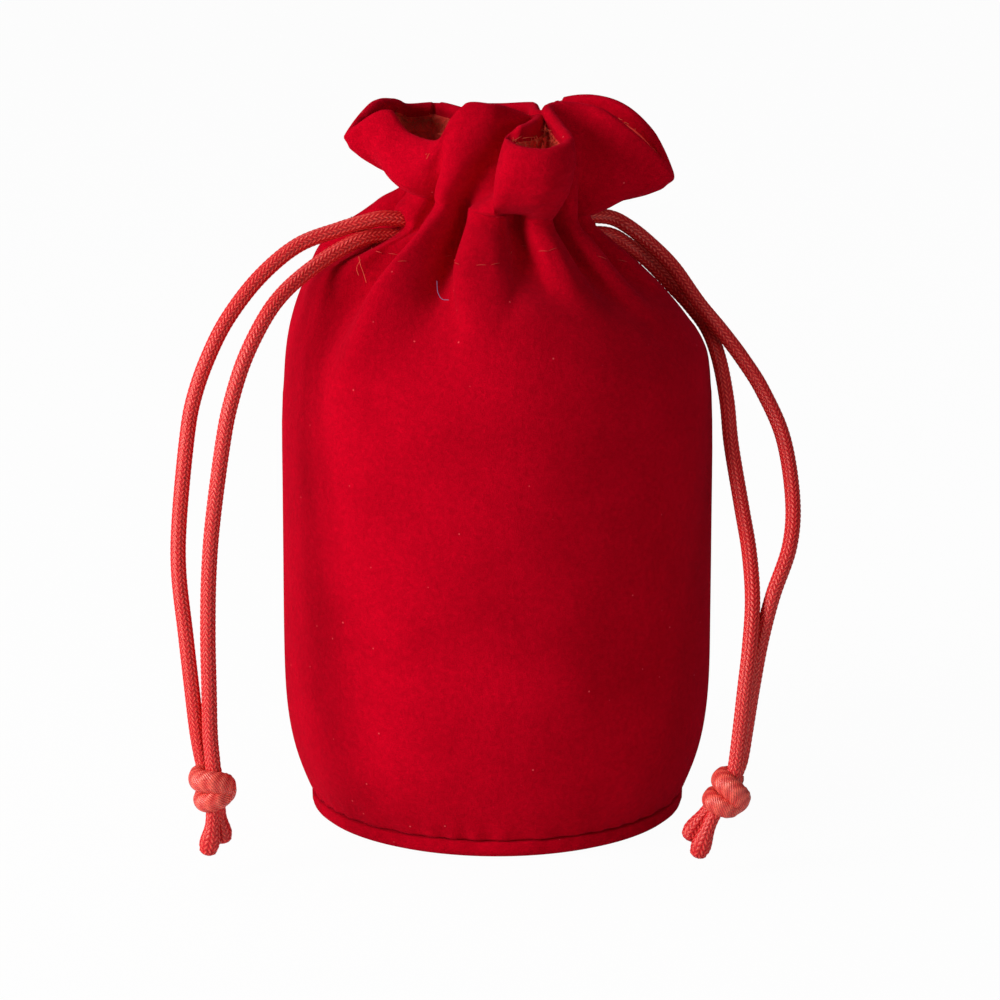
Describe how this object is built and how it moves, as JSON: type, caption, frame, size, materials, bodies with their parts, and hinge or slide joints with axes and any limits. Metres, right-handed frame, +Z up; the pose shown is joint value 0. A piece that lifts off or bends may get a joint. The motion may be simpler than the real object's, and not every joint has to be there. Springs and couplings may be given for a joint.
{
  "type": "drawstring pouch",
  "caption": "Small round-bottomed velvet drawstring pouch, standing, its pleated neck drawn in by braided cords whose knotted ends hang at both sides.",
  "frame": {"origin": "middle of the pouch's whole bounding box, cords left out, at the surface it stands on", "axes": "+Z up through the neck; the front, towards which the cords' knots hang forward, faces -Y; +X is to the right of the front"},
  "size_m": [0.1276, 0.0976, 0.1521],
  "materials": {
    "velvet": "short pile, matt with a soft sheen",
    "braided_cord": "satin braid",
    "casing_tape": "plain woven, matt"
  },
  "bodies": {
    "root": {"pouch_wall": "velvet", "base_disc": "velvet", "channel_tape": "casing_tape", "left_cord": "braided_cord", "right_cord": "braided_cord", "left_knot": "braided_cord", "right_knot": "braided_cord"}
  },
  "joints": []
}
